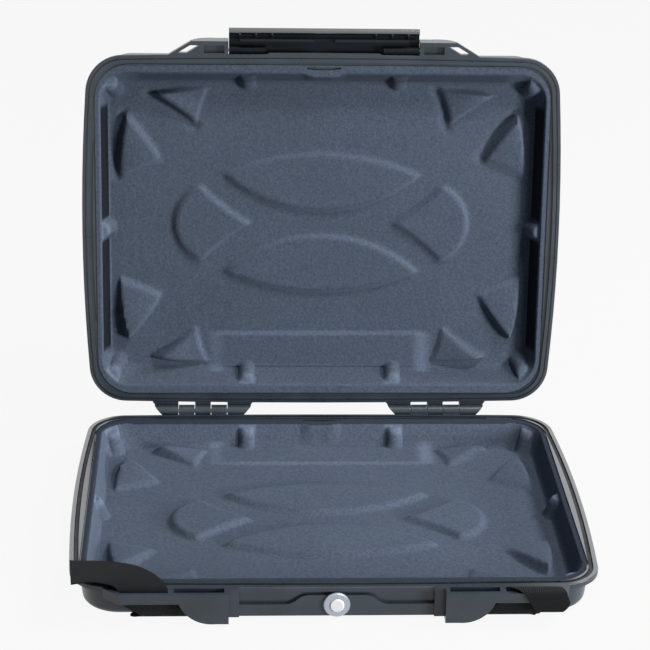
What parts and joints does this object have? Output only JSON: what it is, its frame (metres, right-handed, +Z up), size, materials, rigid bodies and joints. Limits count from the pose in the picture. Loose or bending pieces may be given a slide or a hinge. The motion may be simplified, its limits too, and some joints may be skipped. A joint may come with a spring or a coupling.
{
  "type": "laptop hard case",
  "caption": "Flat moulded hard case for a laptop with a hinged lid, a front latch, a sealed rim, soft moulded liners and a webbing strap, drawn standing open.",
  "frame": {"origin": "under the middle of the base's rim, on the surface that the feet stand on", "axes": "+Z up, +X to the right along the front edge, which is the longest side, and -Y to the front, where the latch is"},
  "size_m": [0.422, 0.4012, 0.3694],
  "materials": {
    "shell": "fine moulded grain",
    "liner": "flocked foam",
    "seal": "soft matt",
    "valve": "satin",
    "valve_cap": "gloss",
    "membrane": "matt",
    "steel": "ground",
    "webbing": "twill weave"
  },
  "bodies": {
    "base": {"base_shell": "shell", "base_liner": "liner", "seal_ring": "seal", "feet": "seal", "hinge_pin_left": "steel", "hinge_pin_right": "steel", "valve_body": "valve", "valve_cap": "valve_cap", "valve_gasket": "seal", "valve_nut": "valve", "valve_membrane": "membrane", "strap_left_tail": "webbing", "strap_left_run": "webbing", "strap_right_run": "webbing", "strap_right_wrap": "webbing"},
    "lid": {"lid_shell": "shell", "lid_liner": "liner", "latch_pin": "steel"},
    "latch": {"latch": "shell"}
  },
  "joints": [
    {"name": "lid_hinge", "type": "hinge", "parent": "base", "child": "lid", "pos_m": [0, 0.1655, 0.0272], "axis": [1, 0, 0], "range_deg": [0, 96.4], "deforming": ["strap_left_tail"]},
    {"name": "latch_hinge", "type": "hinge", "parent": "lid", "child": "latch", "pos_m": [0, 0.20512, 0.35171], "axis": [1, 0, 0], "range_deg": [0, 90]}
  ]
}
